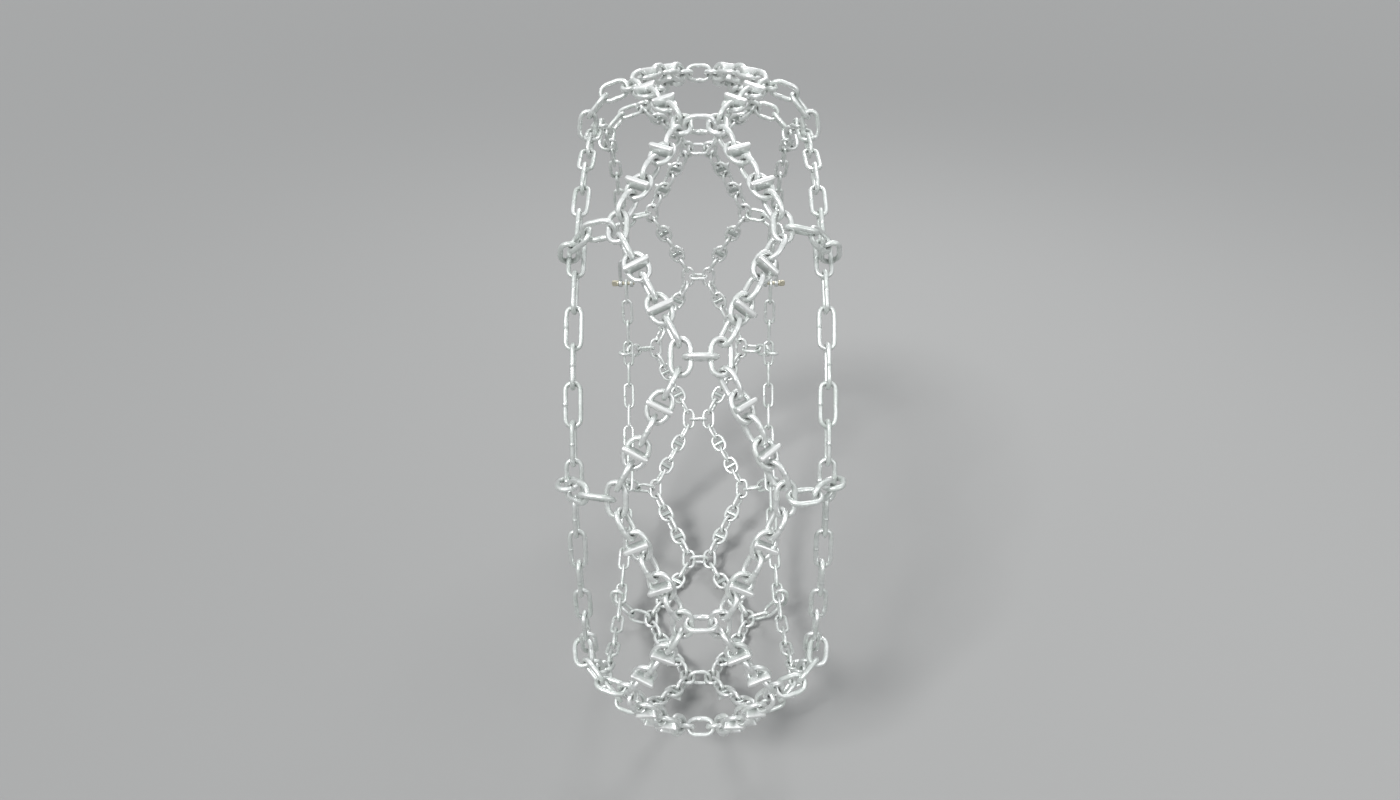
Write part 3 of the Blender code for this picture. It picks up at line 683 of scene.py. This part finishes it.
def zinc_group():
    """Zinc plate over steel wire: spangle, grey-green bloom, painted shade where links hook into each other
    and on the studs' flanks, dull welds and rubbed ridges.

    The colour goes from bright to bloom by patches, times the spangle's flakes, and then to each mark's
    colour by the mark times the grain. Bloom is less metallic, and the roughness follows the patches.
    """
    group = bpy.data.node_groups.new("zinc_plate", "ShaderNodeTree")
    for name, kind in (("Bright", "Color"), ("Bloom", "Color"), ("Bloom Share", "Float"),
                       ("Roughness", "Float")):
        group.interface.new_socket(name=name, in_out="INPUT", socket_type=f"NodeSocket{kind}")
    for name, kind in (("Color", "Color"), ("Metal", "Float"), ("Roughness", "Float"), ("Height", "Float")):
        group.interface.new_socket(name=name, in_out="OUTPUT", socket_type=f"NodeSocket{kind}")
    link = group.links.new
    given = new_node(group, "NodeGroupInput")
    result = new_node(group, "NodeGroupOutput")
    place = new_node(group, "ShaderNodeTexCoord")
    patch = new_node(group, "ShaderNodeTexNoise",
                     inputs={"Scale": PATCH_SCALE, "Detail": 3.0, "Roughness": 0.6})
    grain = new_node(group, "ShaderNodeTexNoise",
                     inputs={"Scale": GRAIN_SCALE, "Detail": 4.0, "Roughness": 0.65})
    spangle = new_node(group, "ShaderNodeTexVoronoi", inputs={"Scale": SPANGLE_SCALE})
    for texture in (patch, grain, spangle):
        link(place.outputs["Object"], texture.inputs["Vector"])

    # Share of bloom, and how metallic it leaves the plate
    bloom = new_node(group, "ShaderNodeMapRange", inputs={"From Min": 0.34, "From Max": 0.62})
    link(patch.outputs["Fac"], bloom.inputs["Value"])
    share = new_node(group, "ShaderNodeMath", operation="MULTIPLY")
    link(bloom.outputs["Result"], share.inputs[0])
    link(given.outputs["Bloom Share"], share.inputs[1])
    metal = new_node(group, "ShaderNodeMapRange", inputs={"To Min": 0.9, "To Max": 0.35})
    link(share.outputs["Value"], metal.inputs["Value"])
    link(metal.outputs["Result"], result.inputs["Metal"])

    # Colour of bright plate and bloom, with the spangle's lighter and darker flakes
    tone = new_node(group, "ShaderNodeMix", data_type="RGBA")
    link(share.outputs["Value"], tone.inputs["Factor"])
    link(given.outputs["Bright"], tone.inputs[MIX_FIRST])
    link(given.outputs["Bloom"], tone.inputs[MIX_SECOND])
    flake = new_node(group, "ShaderNodeMapRange", inputs={"To Min": 0.88, "To Max": 1.06})
    link(spangle.outputs["Color"], flake.inputs["Value"])
    flaked = new_node(group, "ShaderNodeMix", data_type="RGBA", blend_type="MULTIPLY",
                      inputs={"Factor": 1.0})
    link(tone.outputs[MIX_RESULT], flaked.inputs[MIX_FIRST])
    link(flake.outputs["Result"], flaked.inputs[MIX_SECOND])
    colour = flaked.outputs[MIX_RESULT]

    # Each mark's colour, broken up by the grain; the first two paint shade where links hook into each other
    # and on a stud's flank
    for label, tint, strength in MARK_LOOKS:
        mark = new_node(group, "ShaderNodeAttribute", attribute_name=label)
        worn = new_node(group, "ShaderNodeMath", operation="MULTIPLY_ADD", inputs={1: 1.2, 2: -0.35})
        link(grain.outputs["Fac"], worn.inputs[0])
        uneven = new_node(group, "ShaderNodeMath", operation="ADD")
        link(worn.outputs["Value"], uneven.inputs[0])
        link(mark.outputs["Fac"], uneven.inputs[1])
        masked = new_node(group, "ShaderNodeMath", operation="MULTIPLY", use_clamp=True)
        link(uneven.outputs["Value"], masked.inputs[0])
        link(mark.outputs["Fac"], masked.inputs[1])
        amount = new_node(group, "ShaderNodeMath", operation="MULTIPLY", inputs={1: strength})
        link(masked.outputs["Value"], amount.inputs[0])
        mixed = new_node(group, "ShaderNodeMix", data_type="RGBA", inputs={MIX_SECOND: tint})
        link(amount.outputs["Value"], mixed.inputs["Factor"])
        link(colour, mixed.inputs[MIX_FIRST])
        colour = mixed.outputs[MIX_RESULT]
    link(colour, result.inputs["Color"])

    # Roughness, up to 0.11 either way of what is given, and the relief of spangle and grain
    satin = new_node(group, "ShaderNodeMath", operation="MULTIPLY_ADD", inputs={1: 0.22, 2: -0.11})
    link(patch.outputs["Fac"], satin.inputs[0])
    rough = new_node(group, "ShaderNodeMath", operation="ADD", use_clamp=True)
    link(satin.outputs["Value"], rough.inputs[0])
    link(given.outputs["Roughness"], rough.inputs[1])
    link(rough.outputs["Value"], result.inputs["Roughness"])
    height = new_node(group, "ShaderNodeMath", operation="MULTIPLY_ADD", inputs={1: 0.5})
    link(spangle.outputs["Distance"], height.inputs[0])
    link(grain.outputs["Fac"], height.inputs[2])
    link(height.outputs["Value"], result.inputs["Height"])
    return group


def zinc(slot, group, bright, bloom, share, roughness):
    """A slot's name and its material: the zinc plate's group with the slot's own values."""
    material = bpy.data.materials.new(f"zinc_{slot}")
    material.use_nodes = True
    tree = material.node_tree
    shader = tree.nodes["Principled BSDF"]
    plate = new_node(tree, "ShaderNodeGroup", node_tree=group)
    for key, value in (("Bright", (*bright, 1)), ("Bloom", (*bloom, 1)), ("Bloom Share", share),
                       ("Roughness", roughness)):
        plate.inputs[key].default_value = value
    bump = new_node(tree, "ShaderNodeBump", inputs={"Strength": RELIEF_STRENGTH, "Distance": RELIEF_DEPTH})
    tree.links.new(plate.outputs["Color"], shader.inputs["Base Color"])
    tree.links.new(plate.outputs["Metal"], shader.inputs["Metallic"])
    tree.links.new(plate.outputs["Roughness"], shader.inputs["Roughness"])
    tree.links.new(plate.outputs["Height"], bump.inputs["Height"])
    tree.links.new(bump.outputs["Normal"], shader.inputs["Normal"])
    return slot, material


def make_centre_link(number, finishes):
    """One link across the net's middle; it stands upright."""
    angle = number * PITCH_ANGLE
    surface = Surface()
    matrix = frame_at(NET_RADIUS * radial(angle), np.array((0, 1, 0)), along(angle))
    surface.add_link(PARTS["centre"], matrix)
    node = f"centre_link_{number + 1:02d}"
    surface.piece(f"{node}_wire", finishes["centre_link"], node, node)


def make_strand(number, side_name, side, finishes):
    """One strand: a centre junction link, a leg out, the outer junction link and a leg back."""
    angle = number * PITCH_ANGLE
    surface = Surface()
    for turn, offset in ((0, side * JUNCTION_OFFSET), (PITCH_ANGLE / 2, side * OUTER_JUNCTION_OFFSET)):
        matrix = frame_at(on_tread(turn, offset), along(turn), tread_normal(turn, offset))
        surface.add_link(PARTS["junction"], turned(matrix, angle))
    out = LEG_STOPS * (1, side)
    back = out[::-1] * (-1, 1) + (PITCH_ANGLE, 0)
    for step, matrix in enumerate(leg_frames(out) + leg_frames(back)):
        matrix = turned(matrix, angle)
        studded = step % LINKS_PER_LEG % 2 == 1
        turn = math.atan2(matrix[2, 3], matrix[0, 3])
        facing, elsewhere = LEG_ROLL[side_name]
        lean = np.interp(abs(matrix[0, 3]), LEAN_RANGE, (0, 1))
        roll = (facing if abs(turn - PITCH_ANGLE) < PITCH_ANGLE / 2 else elsewhere)[int(studded)]
        roll += LAY.uniform(-ROLL_SPREAD, ROLL_SPREAD)
        matrix = laid(matrix, lean * roll, LAY.uniform(-YAW_SPREAD, YAW_SPREAD))
        surface.add_link(PARTS["studded" if studded else "plain"], matrix)
        if studded:
            surface.add(PARTS["stud"], matrix)
    node = f"tread_strand_{side_name}_{number + 1:02d}"
    surface.piece(f"{node}_links", finishes["tread_chain"], "net", node)


def make_side_tie(number, side_name, side, finishes):
    """Three links from an outer junction link down to the side chain."""
    angle = number * PITCH_ANGLE
    surface = Surface()
    frames, _ = tie_layout(side)
    for matrix, roll in zip(frames, TIE_ROLL):
        roll += LAY.uniform(-ROLL_SPREAD, ROLL_SPREAD)
        surface.add_link(PARTS["tie"], laid(turned(matrix, angle + PITCH_ANGLE / 2), roll))
    node = f"side_tie_{side_name}_{number + 1:02d}"
    surface.piece(f"{node}_links", finishes["side_tie"], node, node)


def make_side_chain(side_name, side, finishes):
    """The runs of a side chain, from the shackle round to the shackle.

    A link that a tie holds and the two on the shackle lie straight, and the others are loose.
    """
    count = SIDE_LINKS - 1
    for number, letter in enumerate(ARC_LETTERS):
        surface = Surface()
        first = SHACKLE_PLACE + 1 + number * count // len(ARC_LETTERS)
        last = SHACKLE_PLACE + 1 + (number + 1) * count // len(ARC_LETTERS)
        for place in range(first, last):
            matrix = side_frame(place, side)
            if place % SIDE_LINKS_PER_DIAMOND and abs(place % SIDE_LINKS - SHACKLE_PLACE) > 1:
                roll = LAY.uniform(-ROLL_SPREAD, ROLL_SPREAD)
                matrix = laid(matrix, roll, LAY.uniform(-YAW_SPREAD, YAW_SPREAD))
            surface.add_link(PARTS["side"], matrix)
        node = f"side_chain_{side_name}_{letter}"
        surface.piece(f"{node}_links", finishes["side_chain"], "net", node)


def make_shackle(side_name, side, finishes):
    """The bow with its two eyes, and the screw pin with its wing."""
    for kind, ending, parts in (("bow", "bar", (bow_bar(), bow_eye(1), bow_eye(-1))),
                                ("pin", "screw", (screw_pin(), pin_wing()))):
        surface = Surface()
        for part in parts:
            surface.add(part, shackle_frame(side))
        node = f"shackle_{kind}_{side_name}"
        surface.piece(f"{node}_{ending}", finishes[f"shackle_{kind}"], node, node, smooth=False)


def make_pieces():
    """Make every fine piece in the place of its node."""
    group = zinc_group()
    finishes = {slot: zinc(slot, group, *values) for slot, values in FINISHES.items()}
    for number in range(DIAMONDS):
        make_centre_link(number, finishes)
    for side_name, side in SIDES:
        for number in range(DIAMONDS):
            make_strand(number, side_name, side, finishes)
            make_side_tie(number, side_name, side, finishes)
        make_side_chain(side_name, side, finishes)
        make_shackle(side_name, side, finishes)


def make_camera():
    """The camera, aimed at the net's middle from the photograph's distance and height."""
    data = bpy.data.cameras.new("photo_camera")
    data.sensor_width = SENSOR_WIDTH
    data.lens = PHOTO_FOCAL_PIXELS / PHOTO_WIDTH_PIXELS * SENSOR_WIDTH
    camera = bpy.data.objects.new("photo_camera", data)
    camera.location = (CAMERA_DISTANCE * math.cos(CAMERA_ELEVATION), CAMERA_SIDEWAYS,
                       CAMERA_DISTANCE * math.sin(CAMERA_ELEVATION))
    camera.rotation_euler = (AIM - camera.location).to_track_quat("-Z", "Y").to_euler()
    bpy.context.scene.collection.objects.link(camera)
    bpy.context.scene.camera = camera


def make_floor():
    """A wide plain floor just under the object."""
    mesh = bpy.data.meshes.new("floor")
    half = FLOOR_HALF_WIDTH
    z = cad_box[0][2] - FLOOR_GAP
    corners = [(-half, -half, z), (half, -half, z), (half, half, z), (-half, half, z)]
    mesh.from_pydata(corners, [], [(0, 1, 2, 3)])
    floor = bpy.data.objects.new("floor", mesh)
    material = bpy.data.materials.new("pale_floor")
    material.use_nodes = True
    shader = material.node_tree.nodes["Principled BSDF"]
    shader.inputs["Base Color"].default_value = FLOOR_COLOUR
    shader.inputs["Roughness"].default_value = FLOOR_ROUGHNESS
    mesh.materials.append(material)
    bpy.context.scene.collection.objects.link(floor)


def make_lamp(name, place, size, watts):
    """A round soft lamp that looks at the object's middle."""
    data = bpy.data.lights.new(name, "AREA")
    data.shape = "DISK"
    data.size = size
    data.energy = watts
    lamp = bpy.data.objects.new(name, data)
    lamp.location = place
    lamp.rotation_euler = (-Vector(place)).to_track_quat("-Z", "Y").to_euler()
    bpy.context.scene.collection.objects.link(lamp)


def make_sun(name, towards, strength, spread):
    """A distant soft lamp that lights the floor evenly; spread is its width in degrees."""
    data = bpy.data.lights.new(name, "SUN")
    data.energy = strength
    data.angle = math.radians(spread)
    lamp = bpy.data.objects.new(name, data)
    lamp.rotation_euler = (-Vector(towards)).to_track_quat("-Z", "Y").to_euler()
    bpy.context.scene.collection.objects.link(lamp)


def make_world():
    """A dim even sky lights the object, and the camera and the metal see a backdrop in its place.

    The backdrop goes smoothly from the horizon's colour to the zenith's by the height of the direction.
    """
    world = bpy.data.worlds.new("studio")
    bpy.context.scene.world = world
    world.use_nodes = True
    tree = world.node_tree
    tree.nodes.clear()
    link = tree.links.new
    path = new_node(tree, "ShaderNodeLightPath")
    seen = new_node(tree, "ShaderNodeMath", operation="ADD")
    also = new_node(tree, "ShaderNodeMath", operation="ADD", use_clamp=True)
    link(path.outputs["Is Camera Ray"], seen.inputs[0])
    link(path.outputs["Is Glossy Ray"], seen.inputs[1])
    link(seen.outputs["Value"], also.inputs[0])
    link(path.outputs["Is Transmission Ray"], also.inputs[1])
    sky = new_node(tree, "ShaderNodeBackground", inputs={"Color": SKY_COLOUR, "Strength": SKY_STRENGTH})
    way = new_node(tree, "ShaderNodeTexCoord")
    upward = new_node(tree, "ShaderNodeSeparateXYZ")
    link(way.outputs["Generated"], upward.inputs["Vector"])
    height = new_node(tree, "ShaderNodeMapRange", interpolation_type="SMOOTHSTEP",
                      inputs={"From Max": ZENITH_START})
    link(upward.outputs["Z"], height.inputs["Value"])
    shade = new_node(tree, "ShaderNodeMix", data_type="RGBA",
                     inputs={MIX_FIRST: HORIZON_COLOUR, MIX_SECOND: ZENITH_COLOUR})
    link(height.outputs["Result"], shade.inputs["Factor"])
    pale = new_node(tree, "ShaderNodeBackground", inputs={"Strength": 1.0})
    link(shade.outputs[MIX_RESULT], pale.inputs["Color"])
    mixed = new_node(tree, "ShaderNodeMixShader")
    link(also.outputs["Value"], mixed.inputs["Fac"])
    link(sky.outputs["Background"], mixed.inputs[1])
    link(pale.outputs["Background"], mixed.inputs[2])
    out = new_node(tree, "ShaderNodeOutputWorld")
    link(mixed.outputs["Shader"], out.inputs["Surface"])


make_pieces()
make_camera()
make_floor()
make_sun("key_sun", towards=(1.1, -0.8, 1.4), strength=1.95, spread=14)
make_lamp("fill", place=(1.8, 1.9, 1.2), size=1.2, watts=8)
make_lamp("rim", place=(-1.6, 0.6, 2.0), size=1.0, watts=16)
make_world()
bpy.context.scene.view_settings.view_transform = "Standard"
